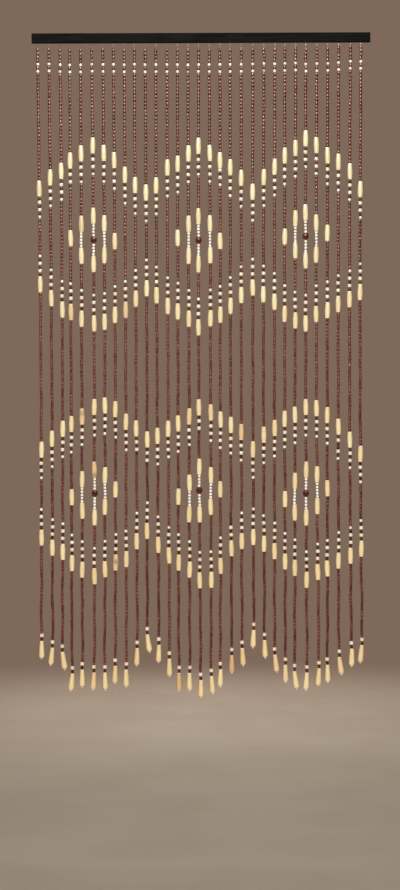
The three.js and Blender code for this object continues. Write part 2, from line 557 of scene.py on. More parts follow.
@dataclass(frozen=True)
class Turning:
    """A turned bead's sizes, in metres, and how finely its surface is drawn.

    Attributes:
        length: length along the thread.
        top: half width at the upper end.
        belly: half width where it is widest.
        bottom: half width at the lower end.
        peak: share of the length, from the top, where the belly lies.
        rise: fullness above the belly, 1 for a straight cone and 2 for a round shoulder.
        fall: fullness below the belly.
        rim: radius of the rounded edge at each flat end, 0 for none.
        bore: half width of the hole.
        dimple: how deep the hole's mouth is sunk.
        around: faces round the bead.
        down: faces down its outside.
    """

    length: float
    top: float
    belly: float
    bottom: float
    peak: float = 0.5
    rise: float = 2.0
    fall: float = 2.0
    rim: float = 0.0
    bore: float = 0.0012
    dimple: float = 0.0004
    around: int = 8
    down: int = 4

    def outline(self) -> tuple[np.ndarray, np.ndarray]:
        """Works out the closed outline that is swept round the thread.

        The outside's half width is end + (belly - end) * (1 - u ** p) ** (1 / p), where u runs from 0 at
        the belly to 1 at the end and p is the fullness on that side. The rows crowd towards the ends as
        (1 - cos) / 2 does. The rounded edges, each with one row half way round it, the flat ends and the
        hole close the outline.

        Returns:
            Half widths, and places along the thread from the upper end, from the top's edge down the
            outside and back up through the hole.
        """
        share = 0.5 - 0.5 * np.cos(np.linspace(0.0, np.pi, self.down + 1))
        above = share < self.peak
        away = np.where(above, (self.peak - share) / self.peak, (share - self.peak) / (1 - self.peak))
        power = np.where(above, self.rise, self.fall)
        end = np.where(above, self.top, self.bottom)
        swell = np.clip(1 - away ** power, 0.0, 1.0) ** (1 / power)
        outside = end + (self.belly - end) * swell
        along = self.rim + (self.length - 2 * self.rim) * share
        hole = (self.bore, self.bore)
        mouths = (self.length - self.dimple, self.dimple)
        if self.rim == 0.0:
            return np.concatenate((outside, hole)), np.concatenate((along, mouths))
        halfway = self.rim * (1 - np.cos(np.pi / 4))
        lower = (self.bottom - halfway, self.bottom - self.rim)
        upper = (self.top - self.rim, self.top - halfway)
        widths = np.concatenate((outside, lower, hole, upper))
        places = np.concatenate((along, (self.length - halfway, self.length), mouths, (0.0, halfway)))
        return widths, places


@dataclass(frozen=True)
class Play:
    """How unevenly beads of a kind are made and sit, as standard deviations.

    Attributes:
        girth: of the half width, as a share.
        tilt: of the tilt on the thread, in radians.
        shift: of the sideways place on the thread, in metres.
    """

    girth: float
    tilt: float
    shift: float


def clipped(draw: np.random.Generator, spread: float, shape: tuple[int, ...]) -> np.ndarray:
    """Draws normal values around 0, none further out than FURTHEST times the spread.

    Args:
        draw: the seeded source.
        spread: the standard deviation.
        shape: the array's shape.

    Returns:
        The values.
    """
    return spread * np.clip(draw.standard_normal(shape), -FURTHEST, FURTHEST)


def unit(vectors: np.ndarray) -> np.ndarray:
    """Returns the vectors, along the last axis, at length 1."""
    return vectors / np.linalg.norm(vectors, axis=-1, keepdims=True)


def atlas_corners(count: int, across: np.ndarray, along: np.ndarray, slimness: float) -> np.ndarray:
    """Lays each shape's faces in a cell of its own on one square map.

    A corner lies at (cell + inset + (1 - 2 * inset) * share) / cells, along each side of the map.

    Args:
        count: how many shapes there are.
        across: shares round the ring, one more than its faces.
        along: shares from ring to ring, one more than the rows of faces.
        slimness: how many times longer a shape is than it is round.

    Returns:
        Map places of each face's four corners, (count, rows, around, 4, 2).
    """
    columns = min(count, int(np.ceil(np.sqrt(count * slimness))))
    lines = int(np.ceil(count / columns))
    inset = 0.04
    u = inset + (1 - 2 * inset) * across
    v = inset + (1 - 2 * inset) * along
    left, right = np.meshgrid(u[:-1], v[:-1]), np.meshgrid(u[1:], v[1:])
    corners_u = np.stack((left[0], right[0], right[0], left[0]), axis=-1)
    corners_v = np.stack((left[1], left[1], right[1], right[1]), axis=-1)
    cell = np.arange(count)
    cell_u = (cell % columns)[:, None, None, None]
    cell_v = (cell // columns)[:, None, None, None]
    return np.stack(((cell_u + corners_u) / columns, (cell_v + corners_v) / lines), axis=-1)


def ring_mesh(
    name: str, rings: np.ndarray, looped: bool, marks: dict[str, np.ndarray], steps: np.ndarray
) -> bpy.types.Object:
    """Makes one mesh of many shapes, each a row of rings joined by faces.

    The face between ring j and ring j + 1 at side i has the corners (i, j), (i + 1, j), (i + 1, j + 1)
    and (i, j + 1), so a shape whose rings turn right-handed about its way down faces outwards.

    Args:
        name: the piece's name.
        rings: points, (shapes, rings, sides, 3).
        looped: whether the last ring joins the first. If not, a flat face closes each end.
        marks: named values for each shape, or for each point, that the finish reads.
        steps: length of each row of faces on the map.

    Returns:
        The new object, at the origin.
    """
    count, rows, around = rings.shape[:3]
    spans = rows if looped else rows - 1
    start = (np.arange(count) * rows * around)[:, None, None]
    this_row = (np.arange(spans) * around)[None, :, None]
    next_row = ((np.arange(spans) + 1) % rows * around)[None, :, None]
    side = np.arange(around)[None, None, :]
    after = (side + 1) % around
    here, below = start + this_row, start + next_row
    quads = np.stack((here + side, here + after, below + after, below + side), axis=-1).reshape(-1, 4)
    caps = np.zeros((0, around), int)
    if not looped:
        first_ring = start[:, 0] + np.arange(around)[::-1]
        last_ring = start[:, 0] + (rows - 1) * around + np.arange(around)
        caps = np.concatenate((first_ring, last_ring))
    corners = np.concatenate((quads.ravel(), caps.ravel()))
    starts = np.concatenate((np.arange(len(quads)) * 4, quads.size + np.arange(len(caps)) * around))

    mesh = bpy.data.meshes.new(name)
    mesh.vertices.add(count * rows * around)
    mesh.vertices.foreach_set("co", rings.astype(np.float32).ravel())
    mesh.loops.add(len(corners))
    mesh.loops.foreach_set("vertex_index", corners.astype(np.int32))
    mesh.polygons.add(len(starts))
    mesh.polygons.foreach_set("loop_start", starts.astype(np.int32))
    mesh.update(calc_edges=True)
    mesh.shade_smooth()

    lengths = np.concatenate(((0.0,), np.cumsum(steps)))
    girth = np.linalg.norm(np.diff(rings[0, 0], axis=0), axis=-1).sum()
    slimness = max(1.0, lengths[-1] / girth)
    places = atlas_corners(count, np.linspace(0.0, 1.0, around + 1), lengths / lengths[-1], slimness)
    cap_places = np.full((len(caps) * around, 2), ATLAS_MIDDLE)
    layer = mesh.uv_layers.new(name=ATLAS)
    flat = np.concatenate((places.reshape(-1, 2), cap_places))
    layer.uv.foreach_set("vector", flat.astype(np.float32).ravel())

    for mark, values in marks.items():
        padded = values.reshape(values.shape + (1,) * (3 - values.ndim))
        spread = np.broadcast_to(padded, rings.shape[:3])
        data = mesh.attributes.new(mark, "FLOAT", "POINT").data
        data.foreach_set("value", spread.astype(np.float32).ravel())

    piece = bpy.data.objects.new(name, mesh)
    bpy.context.scene.collection.objects.link(piece)
    return piece


def turned_beads(
    name: str, turning: Turning, play: Play, spots: Spots, marks: dict[str, np.ndarray]
) -> bpy.types.Object:
    """Makes all the beads of a kind as one mesh.

    A point at angle a on outline row k lies at middle + width_k * (cos a * side + sin a * front)
    + place_k * axis, where the axis follows the thread, a little tilted. The marks get two more: share,
    which runs from 0 at a bead's top to 1 at its foot, and grain, a number of its own for each bead. The
    figure fades away from the knot as exp(-(distance / reach) ** 2), and round the bead from its front.

    Args:
        name: the piece's name.
        turning: the bead's sizes.
        play: how unevenly the beads are made and sit.
        spots: where they sit.
        marks: named values for each bead. figure is how dark a knot is and height where it lies.

    Returns:
        The new object.
    """
    count = len(spots.number)
    draw = np.random.default_rng((SEED, len(name), count))
    widths, places = turning.outline()
    room = spots.foot - spots.head
    tilt = clipped(draw, play.tilt, (count, 3)) * (1.0, 1.0, 0.0)
    axis = unit(unit(room) + tilt)
    side = unit(np.cross(axis, (0.0, 1.0, 0.0)))
    front = np.cross(axis, side)
    shift = clipped(draw, play.shift, (count, 3)) * (1.0, 1.0, 0.0)
    middle = (spots.head + spots.foot) / 2 + shift
    girth = 1 + clipped(draw, play.girth, (count,))
    roll = draw.uniform(0.0, 2 * np.pi, count)

    angle = roll[:, None] + np.linspace(0.0, 2 * np.pi, turning.around, endpoint=False)
    outwards = np.cos(angle)[..., None] * side[:, None] + np.sin(angle)[..., None] * front[:, None]
    sweep = widths[None, :, None, None] * girth[:, None, None, None] * outwards[:, None]
    along = (places - turning.length / 2)[None, :, None, None] * axis[:, None, None]
    rings = middle[:, None, None] + sweep + along

    share = np.broadcast_to((places / turning.length)[None, :, None], rings.shape[:3])
    own = {"share": share, **{key: value for key, value in marks.items() if key != "height"}}
    if "figure" in marks:
        apart = (share - marks["height"][:, None, None]) / KNOT_REACH
        facing = np.clip(-outwards[:, None, :, 1], 0.0, 1.0)
        own["figure"] = marks["figure"][:, None, None] * np.exp(-apart ** 2) * facing
    own["grain"] = draw.uniform(0.0, 1.0, count)
    outline = np.stack((np.append(widths, widths[0]), np.append(places, places[0])))
    steps = np.linalg.norm(np.diff(outline, axis=1), axis=0)
    steps[np.argmax(widths == turning.bore)] *= HOLE_ON_MAP
    return ring_mesh(name, rings, True, own, steps)


@dataclass(frozen=True)
class Pattern:
    """Soft noise that stands for grain, fibres or clouds.

    Attributes:
        scale: its repeats in a metre.
        stretch: what each axis is multiplied by first, so a small number draws the pattern out.
        detail: how many finer layers it has.
    """

    scale: float
    stretch: tuple[float, float, float] = (1.0, 1.0, 1.0)
    detail: float = 2.0


@dataclass(frozen=True)
class Fade:
    """A smooth step from one value to another.

    Attributes:
        low: where it starts.
        high: where it ends.
        first: the value below low.
        last: the value above high.
    """

    low: float
    high: float
    first: float = 0.0
    last: float = 1.0


@dataclass(frozen=True)
class Relief:
    """How a pattern stands out of a surface.

    Attributes:
        strength: how much of it shows.
        height: how high it stands, in metres.
    """

    strength: float
    height: float = 0.0001


class Graph:
    """A new material's nodes, with short calls that add and join them."""

    # Where a mix node keeps its colours
    COLOUR_A = 6
    COLOUR_B = 7
    COLOUR_OUT = 2

    # How far apart, in metres, two beads' cuts of the wood may be
    CUT_SPREAD = 3.0

    # The middle of a bead, as a share of its length
    BEAD_MIDDLE = 0.5

    def __init__(self, name: str) -> None:
        """Starts a material with a plain shader.

        Args:
            name: the material's name.
        """
        self.material = bpy.data.materials.new(name)
        self.material.use_nodes = True
        self.tree = self.material.node_tree
        self.shader = self.tree.nodes["Principled BSDF"]
        self.place = self.node("ShaderNodeTexCoord").outputs["Object"]

    def node(self, kind: str, **settings: Any) -> bpy.types.Node:
        """Adds a node.

        Args:
            kind: the node's type.
            settings: its properties.

        Returns:
            The node.
        """
        node = self.tree.nodes.new(kind)
        for key, value in settings.items():
            setattr(node, key, value)
        return node

    def feed(self, socket: Socket, value: Any) -> None:
        """Joins a socket to another one, or sets its value.

        Args:
            socket: the input.
            value: an output socket, or a plain value.
        """
        if isinstance(value, Socket):
            self.tree.links.new(value, socket)
        else:
            socket.default_value = value

    def colour(self, socket: Socket, value: Any) -> None:
        """Joins or sets an input that may be a colour, which gets its alpha."""
        self.feed(socket, (*value, 1.0) if isinstance(value, tuple) else value)

    def mark(self, name: str) -> Socket:
        """Returns the value of a mark that the mesh carries."""
        return self.node("ShaderNodeAttribute", attribute_name=name).outputs["Fac"]

    def cut(self) -> Socket:
        """Gives each bead a cut of its own from the wood.

        Returns:
            The coordinates: place + CUT_SPREAD * grain, along each axis.
        """
        moved = self.node("ShaderNodeVectorMath", operation="ADD")
        self.feed(moved.inputs[0], self.place)
        self.feed(moved.inputs[1], self.maths("MULTIPLY", self.mark("grain"), self.CUT_SPREAD))
        return moved.outputs[0]

    def stretched(self, vector: Socket, scale: tuple[float, float, float]) -> Socket:
        """Stretches coordinates.

        Args:
            vector: the coordinates.
            scale: what each axis is multiplied by.

        Returns:
            The stretched coordinates.
        """
        mapping = self.node("ShaderNodeMapping")
        self.feed(mapping.inputs["Vector"], vector)
        self.feed(mapping.inputs["Scale"], scale)
        return mapping.outputs["Vector"]

    def noise(self, vector: Socket, pattern: Pattern) -> Socket:
        """Adds soft noise.

        Args:
            vector: its coordinates, before they are stretched.
            pattern: its scale, stretch and detail.

        Returns:
            Its value, around 0.5.
        """
        node = self.node("ShaderNodeTexNoise")
        self.feed(node.inputs["Vector"], self.stretched(vector, pattern.stretch))
        self.feed(node.inputs["Scale"], pattern.scale)
        self.feed(node.inputs["Detail"], pattern.detail)
        return node.outputs["Fac"]

    def ramp(self, value: Any, stops: tuple[tuple[float, Colour], ...]) -> Socket:
        """Picks a colour by a value.

        Args:
            value: what picks it.
            stops: places and colours.

        Returns:
            The colour.
        """
        node = self.node("ShaderNodeValToRGB")
        while len(node.color_ramp.elements) < len(stops):
            node.color_ramp.elements.new(1.0)
        for element, (place, colour) in zip(node.color_ramp.elements, stops):
            element.position = place
            element.color = (*colour, 1.0)
        self.feed(node.inputs["Fac"], value)
        return node.outputs["Color"]

    def mix(self, share: Any, first: Any, second: Any, blend: str = "MIX") -> Socket:
        """Mixes two colours.

        Args:
            share: how much of the second there is.
            first: a colour or socket.
            second: a colour or socket.
            blend: how they are mixed.

        Returns:
            The mixed colour.
        """
        node = self.node("ShaderNodeMix", data_type="RGBA", blend_type=blend)
        self.feed(node.inputs[0], share)
        self.colour(node.inputs[self.COLOUR_A], first)
        self.colour(node.inputs[self.COLOUR_B], second)
        return node.outputs[self.COLOUR_OUT]

    def darken(self, colour: Any, share: Any) -> Socket:
        """Returns a colour times a share."""
        return self.mix(1.0, colour, share, "MULTIPLY")

    def maths(self, operation: str, first: Any, second: Any = 0.0) -> Socket:
        """Works out a value from two.

        Args:
            operation: the node's name for it.
            first: a value or socket.
            second: a value or socket.

        Returns:
            The result.
        """
        node = self.node("ShaderNodeMath", operation=operation)
        self.feed(node.inputs[0], first)
        self.feed(node.inputs[1], second)
        return node.outputs[0]

    def away(self, value: Any, middle: float) -> Socket:
        """Returns how far a value lies from a middle one, to either side."""
        return self.maths("ABSOLUTE", self.maths("SUBTRACT", value, middle))

    def off_middle(self) -> Socket:
        """Returns how far a point lies from its bead's middle, as a share of the bead's length."""
        return self.away(self.mark("share"), self.BEAD_MIDDLE)

    def fade(self, value: Any, fade: Fade) -> Socket:
        """Maps a value smoothly from one range to another.

        Args:
            value: the value.
            fade: both ranges.

        Returns:
            The mapped value.
        """
        node = self.node("ShaderNodeMapRange", interpolation_type="SMOOTHSTEP")
        for socket, given in zip(node.inputs, (value, fade.low, fade.high, fade.first, fade.last)):
            self.feed(socket, given)
        return node.outputs[0]

    def bump(self, height: Socket, relief: Relief) -> None:
        """Raises the surface by a pattern.

        Args:
            height: the pattern.
            relief: how it stands out.
        """
        node = self.node("ShaderNodeBump")
        self.feed(node.inputs["Height"], height)
        self.feed(node.inputs["Strength"], relief.strength)
        self.feed(node.inputs["Distance"], relief.height)
        self.feed(self.shader.inputs["Normal"], node.outputs["Normal"])

    def set(self, **values: Any) -> None:
        """Sets the shader's inputs, with underscores for the spaces in their names."""
        for key, value in values.items():
            self.colour(self.shader.inputs[key.replace("_", " ")], value)


@dataclass(frozen=True)
class Lacquer:
    """Stained wood under clear lacquer, on a small bead.

    The bead's tone picks its place on the stain, and streaks along the thread darken it. Towards the
    holes it is darkened further, a painted shade where neighbouring beads meet.

    Attributes:
        name: the finish's name.
        dark: the stain at tone 0.
        middle: the stain at tone 0.5.
        light: the stain at tone 1.
        fibres: pattern of the streaks.
        streaks: how much of the colour is left, from the open streaks to the smooth ones.
        ends: how much of it is left, from the bead's middle to its ends: painted shade where the beads
            meet.
        roughness: roughness, from the open streaks to the smooth ones.
        gloss: strength of the lacquer's own shine.
        gleam: the colour of that shine.
        coat: weight of a clear coat over it.
        coat_roughness: roughness of the clear coat.
        relief: how the streaks stand out.
    """

    name: str
    dark: Colour
    middle: Colour
    light: Colour
    fibres: Pattern = Pattern(900.0, (1.0, 1.0, 0.25), 3.0)
    streaks: Fade = Fade(0.35, 0.65, 0.7, 1.0)
    ends: Fade = Fade(0.15, 0.42, 1.0, 0.2)
    roughness: Fade = Fade(0.35, 0.65, 0.3, 0.18)
    gloss: float = 0.9
    gleam: Colour = (1.0, 0.78, 0.63)
    coat: float = 0.0
    coat_roughness: float = 0.2
    relief: Relief = Relief(0.08)

    def material(self) -> bpy.types.Material:
        """Mixes the finish.

        Returns:
            The new material.
        """
        graph = Graph(self.name)
        stops = ((0.0, self.dark), (0.5, self.middle), (1.0, self.light))
        stain = graph.ramp(graph.mark("tone"), stops)
        fibres = graph.noise(graph.cut(), self.fibres)
        streaks = graph.fade(fibres, self.streaks)
        # painted shade: the stain darkens towards the bead's ends, where it meets its neighbours
        ends = graph.fade(graph.off_middle(), self.ends)
        graph.set(
            Base_Color=graph.darken(stain, graph.maths("MULTIPLY", streaks, ends)),
            Roughness=graph.fade(fibres, self.roughness),
            Specular_IOR_Level=self.gloss,
            Specular_Tint=self.gleam,
            Coat_Weight=self.coat,
            Coat_Roughness=self.coat_roughness,
        )
        graph.bump(fibres, self.relief)
        return graph.material


@dataclass(frozen=True)
class PaleWood:
    """Pale turned wood under thin varnish, with fibres along the thread.

    Attributes:
        name: the finish's name.
        cream: the wood at tone 0.
        straw: the wood at tone 1, and what the bands in it go to.
        tan: the colour that a bead's tint goes to.
        knot: the colour of a knot.
        ends: the lighter colour that the flat ends and the edges there go to, a painted highlight.
        bands: pattern of the broad bands.
        banding: how far the wood goes to straw in them.
        fibres: pattern of the fine fibres.
        lines: how much of the colour is left between the fibres and on them.
        end_highlight: how far the wood goes to the colour of the ends, by the distance from the bead's
            middle: a painted highlight.
        swirl: pattern of the wood round a knot.
        swirling: how much of the knot's colour it takes.
        roughness: the wood's roughness between the fibres and on them.
        coat: weight of the varnish.
        coat_roughness: roughness of the varnish.
        relief: how the fibres and bands stand out.
    """

    name: str
    cream: Colour = shade(235, 228, 184)
    straw: Colour = shade(238, 206, 147)
    tan: Colour = shade(205, 158, 112)
    knot: Colour = shade(82, 44, 20)
    ends: Colour = shade(250, 228, 200)
    bands: Pattern = Pattern(260.0, (1.0, 1.0, 0.06), 2.0)
    banding: Fade = Fade(0.42, 0.72, 0.0, 0.45)
    fibres: Pattern = Pattern(1500.0, (1.0, 1.0, 0.08), 4.0)
    lines: Fade = Fade(0.3, 0.7, 0.9, 1.0)
    end_highlight: Fade = Fade(0.44, 0.485, 0.0, 0.7)
    swirl: Pattern = Pattern(420.0, (1.0, 1.0, 0.35), 5.0)
    swirling: Fade = Fade(0.38, 0.6, 0.25, 1.0)
    roughness: Fade = Fade(0.3, 0.7, 0.5, 0.36)
    coat: float = 0.6
    coat_roughness: float = 0.24
    relief: Relief = Relief(0.15)

    def material(self) -> bpy.types.Material:
        """Mixes the finish.

        Returns:
            The new material.
        """
        graph = Graph(self.name)
        cut = graph.cut()
        wood = graph.ramp(graph.mark("tone"), ((0.0, self.cream), (1.0, self.straw)))
        bands = graph.noise(cut, self.bands)
        fibres = graph.noise(cut, self.fibres)
        swirl = graph.noise(cut, self.swirl)
        banded = graph.mix(graph.fade(bands, self.banding), wood, self.straw)
        tinted = graph.mix(graph.mark("tint"), banded, self.tan)
        lined = graph.darken(tinted, graph.fade(fibres, self.lines))
        # painted highlight: the wood goes lighter towards both ends of the bead
        highlit_ends = graph.mix(graph.fade(graph.off_middle(), self.end_highlight), lined, self.ends)
        figured = graph.maths("MULTIPLY", graph.mark("figure"), graph.fade(swirl, self.swirling))
        graph.set(
            Base_Color=graph.mix(figured, highlit_ends, self.knot),
            Roughness=graph.fade(fibres, self.roughness),
            Coat_Weight=self.coat,
            Coat_Roughness=self.coat_roughness,
        )
        graph.bump(graph.maths("ADD", fibres, bands), self.relief)
        return graph.material


@dataclass(frozen=True)
class WhiteGlaze:
    """Glossy white bead, faintly clouded, greyer round the hole as painted shade where the beads meet.

    Attributes:
        name: the finish's name.
        bright: the white at tone 0.
        dull: the white at tone 1, and what the clouds go to.
        blush: the colour that a bead's tint goes to.
        hole: the colour round the holes, a painted shade where neighbouring beads meet.
        clouds: pattern of the clouds.
        clouding: how far the white goes to dull in them.
        hole_shading: how far it goes to the colour round the holes, by the distance from the bead's
            middle: painted shade.
        roughness: roughness outside the clouds and in them.
        coat: weight of the glaze.
        coat_roughness: roughness of the glaze.
        relief: how the clouds stand out.
    """

    name: str
    bright: Colour = shade(250, 246, 238)
    dull: Colour = shade(232, 221, 208)
    blush: Colour = shade(190, 128, 112)
    hole: Colour = shade(140, 112, 96)
    clouds: Pattern = Pattern(350.0)
    clouding: Fade = Fade(0.4, 0.75, 0.0, 0.5)
    hole_shading: Fade = Fade(0.3, 0.5)
    roughness: Fade = Fade(0.35, 0.65, 0.14, 0.26)
    coat: float = 0.6
    coat_roughness: float = 0.08
    relief: Relief = Relief(0.12)

    def material(self) -> bpy.types.Material:
        """Mixes the finish.

        Returns:
            The new material.
        """
        graph = Graph(self.name)
        white = graph.ramp(graph.mark("tone"), ((0.0, self.bright), (1.0, self.dull)))
        clouds = graph.noise(graph.cut(), self.clouds)
        clouded = graph.mix(graph.fade(clouds, self.clouding), white, self.dull)
        tinted = graph.mix(graph.mark("tint"), clouded, self.blush)
        graph.set(
            # painted shade: the white goes grey towards the holes, where the beads meet
            Base_Color=graph.mix(graph.fade(graph.off_middle(), self.hole_shading), tinted, self.hole),
            Roughness=graph.fade(clouds, self.roughness),
            Coat_Weight=self.coat,
            Coat_Roughness=self.coat_roughness,
        )
        graph.bump(clouds, self.relief)
        return graph.material


@dataclass(frozen=True)
class Fibre:
    """Twisted thread, its plies seen as slanting ridges.

    Attributes:
        name: the finish's name.
        dark: the thread at tone 0.
        pale: the thread at tone 1.
        plies: the ridges' scale.
        unevenness: how far the ridges stray from straight lines.
        furrows: how much of the colour is left, from the furrows to the ridges.
        roughness: roughness, from the furrows to the ridges.
        sheen: weight of the thread's soft sheen.
        relief: how the ridges stand out.
    """

    name: str
    dark: Colour = shade(70, 42, 34)
    pale: Colour = shade(214, 186, 172)
    plies: float = 260.0
    unevenness: float = 1.5
    furrows: Fade = Fade(0.0, 0.6, 0.6, 1.0)
    roughness: Fade = Fade(0.0, 1.0, 0.85, 0.6)
    sheen: float = 0.3
    relief: Relief = Relief(0.6, 0.0002)

    def material(self) -> bpy.types.Material:
        """Mixes the finish.

        Returns:
            The new material.
        """
        graph = Graph(self.name)
        dyed = graph.ramp(graph.mark("tone"), ((0.0, self.dark), (1.0, self.pale)))
        plies = graph.node("ShaderNodeTexWave", wave_type="BANDS", bands_direction="DIAGONAL")
        graph.feed(plies.inputs["Vector"], graph.place)
        graph.feed(plies.inputs["Scale"], self.plies)
        graph.feed(plies.inputs["Distortion"], self.unevenness)
        ridges = plies.outputs["Fac"]
        graph.set(
            Base_Color=graph.darken(dyed, graph.fade(ridges, self.furrows)),
            Roughness=graph.fade(ridges, self.roughness),
            Sheen_Weight=self.sheen,
        )
        graph.bump(ridges, self.relief)
        return graph.material


@dataclass(frozen=True)
class BlackPaint:
    """Black paint on a wooden batten, with the grain showing through and its edges a little rubbed.

    Attributes:
        name: the finish's name.
        deep: the paint where it lies thick.
        thin: the paint over the raised grain.
        rubbed: the colour of the rubbed edges.
        grain: pattern of the wood's grain.
        showing: how far the paint goes to thin over the grain.
        rub_start: how far from an edge, in metres, the rubbing starts.
        rub_full: how far from it the rubbing is full.
        blotches: pattern of the rubbed places.
        wear: how much the edges are rubbed in them.
        roughness: roughness, from the thick paint to the thin.
        gloss: strength of the paint's shine.
        relief: how the grain stands out.
    """

    name: str
    deep: Colour = shade(8, 8, 8)
    thin: Colour = shade(16, 16, 16)
    rubbed: Colour = shade(46, 40, 34)
    grain: Pattern = Pattern(420.0, (0.05, 1.0, 1.0), 4.0)
    showing: Fade = Fade(0.35, 0.7)
    rub_start: float = 0.0014
    rub_full: float = 0.0002
    blotches: Pattern = Pattern(60.0, (0.4, 1.0, 1.0), 2.0)
    wear: Fade = Fade(0.48, 0.62, 0.0, 0.6)
    roughness: Fade = Fade(0.3, 0.7, 0.85, 0.7)
    gloss: float = 0.03
    relief: Relief = Relief(0.3, 0.00015)

    def near(self, graph: Graph, distance: Socket, half: float) -> Socket:
        """Finds how near a point is to the batten's two sides along one axis.

        Args:
            graph: the material's nodes.
            distance: the point's distance from the batten's middle.
            half: the batten's half size along that axis.

        Returns:
            0 inside, up to 1 at the sides.
        """
        return graph.fade(distance, Fade(half - self.rub_start, half - self.rub_full))

    def material(self) -> bpy.types.Material:
        """Mixes the finish. An edge is where a point is near a side along both Y and Z.

        Returns:
            The new material.
        """
        graph = Graph(self.name)
        grain = graph.noise(graph.place, self.grain)
        blotches = graph.noise(graph.place, self.blotches)
        paint = graph.mix(graph.fade(grain, self.showing), self.deep, self.thin)
        parts = graph.node("ShaderNodeSeparateXYZ")
        graph.feed(parts.inputs[0], graph.place)
        near_y = self.near(graph, graph.away(parts.outputs["Y"], STRINGS_Y), RAIL_DEPTH / 2)
        near_z = self.near(graph, graph.away(parts.outputs["Z"], RAIL_MIDDLE_Z), RAIL_HEIGHT / 2)
        edge = graph.maths("MULTIPLY", near_y, near_z)
        worn = graph.maths("MULTIPLY", edge, graph.fade(blotches, self.wear))
        graph.set(
            Base_Color=graph.mix(worn, paint, self.rubbed),
            Roughness=graph.fade(grain, self.roughness),
            Specular_IOR_Level=self.gloss,
        )
        graph.bump(grain, self.relief)
        return graph.material


@dataclass(frozen=True)
class PaleFloor:
    """Pale matt floor, faintly mottled and see-through towards its rim.

    Attributes:
        name: the finish's name.
        dim: the darker patches.
        bright: the lighter ones.
        mottle: pattern of the patches.
        patches: how far the floor goes to bright in them.
        clearing: how much of it is left, by the distance in metres from the middle.
        roughness: its roughness.
    """

    name: str
    dim: Colour = shade(178, 163, 146)
    bright: Colour = shade(184, 170, 153)
    mottle: Pattern = Pattern(3.0, detail=4.0)
    patches: Fade = Fade(0.35, 0.65)
    clearing: Fade = Fade(1.6, 3.8, 1.0, 0.0)
    roughness: float = 0.7

    def material(self) -> bpy.types.Material:
        """Mixes the finish.

        Returns:
            The new material.
        """
        graph = Graph(self.name)
        mottle = graph.noise(graph.place, self.mottle)
        out = graph.node("ShaderNodeVectorMath", operation="LENGTH")
        graph.feed(out.inputs[0], graph.stretched(graph.place, (1.0, 1.0, 0.0)))
        graph.set(
            Base_Color=graph.mix(graph.fade(mottle, self.patches), self.dim, self.bright),
            Roughness=self.roughness,
            Alpha=graph.fade(out.outputs["Value"], self.clearing),
        )
        return graph.material


def settle(piece: bpy.types.Object, material: bpy.types.Material) -> bpy.types.Object:
    """Gives a piece its finish and joins it to the frame in place of the plain strings.

    Args:
        piece: the new piece.
        material: its finish.

    Returns:
        The piece.
    """
    piece.data.materials.append(material)
    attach(piece, BODY)
    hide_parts(STRINGS_NODE)
    return piece


@dataclass
class Batten:
    """The black batten, and the strip in its underside that holds the strings' roots.

    Attributes:
        strip_length: the strip's length.
        strip_width: its width, front to back.
        strip_height: its height.
        edge: radius of the strip's long edges.
        edge_steps: faces round each of those edges.
        bays: rows of faces along the strip.
        paint: the batten's finish.
    """

    strip_length: float = 0.888
    strip_width: float = 0.0064
    strip_height: float = 0.006
    edge: float = 0.0006
    edge_steps: int = 3
    bays: int = 62
    paint: BlackPaint = BlackPaint("black_paint")

    def build(self) -> list[bpy.types.Object]:
        """Paints the batten and makes the root strip.

        Returns:
            The new piece.
        """
        material = self.paint.material()
        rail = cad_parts[RAIL_NODE]
        for held in rail.material_slots:
            held.material = material
        return [settle(self.strip(), material)]

    def strip(self) -> bpy.types.Object:
        """Makes the strip: a rounded rectangle carried along X.

        The section's corner points lie at corner + edge * (cos a, sin a), a quarter turn at each corner.

        Returns:
            The strip.
        """
        turn = np.linspace(0.0, np.pi / 2, self.edge_steps + 1)
        angles = (np.arange(4)[:, None] * np.pi / 2 + turn).ravel()
        signs = np.repeat(np.array(((1, 1), (-1, 1), (-1, -1), (1, -1))), self.edge_steps + 1, axis=0)
        inner = np.array((self.strip_width, self.strip_height)) / 2 - self.edge
        section = signs * inner + self.edge * np.stack((np.cos(angles), np.sin(angles)), axis=-1)
        x = np.linspace(-0.5, 0.5, self.bays + 1) * self.strip_length
        middle_z = RAIL_LOW.z + self.strip_height / 2
        rings = np.empty((1, self.bays + 1, len(section), 3))
        rings[0, ..., 0] = x[:, None]
        rings[0, ..., 1] = STRINGS_Y + section[:, 0]
        rings[0, ..., 2] = middle_z + section[:, 1]
        return ring_mesh("root_strip", rings, False, {}, np.diff(x))


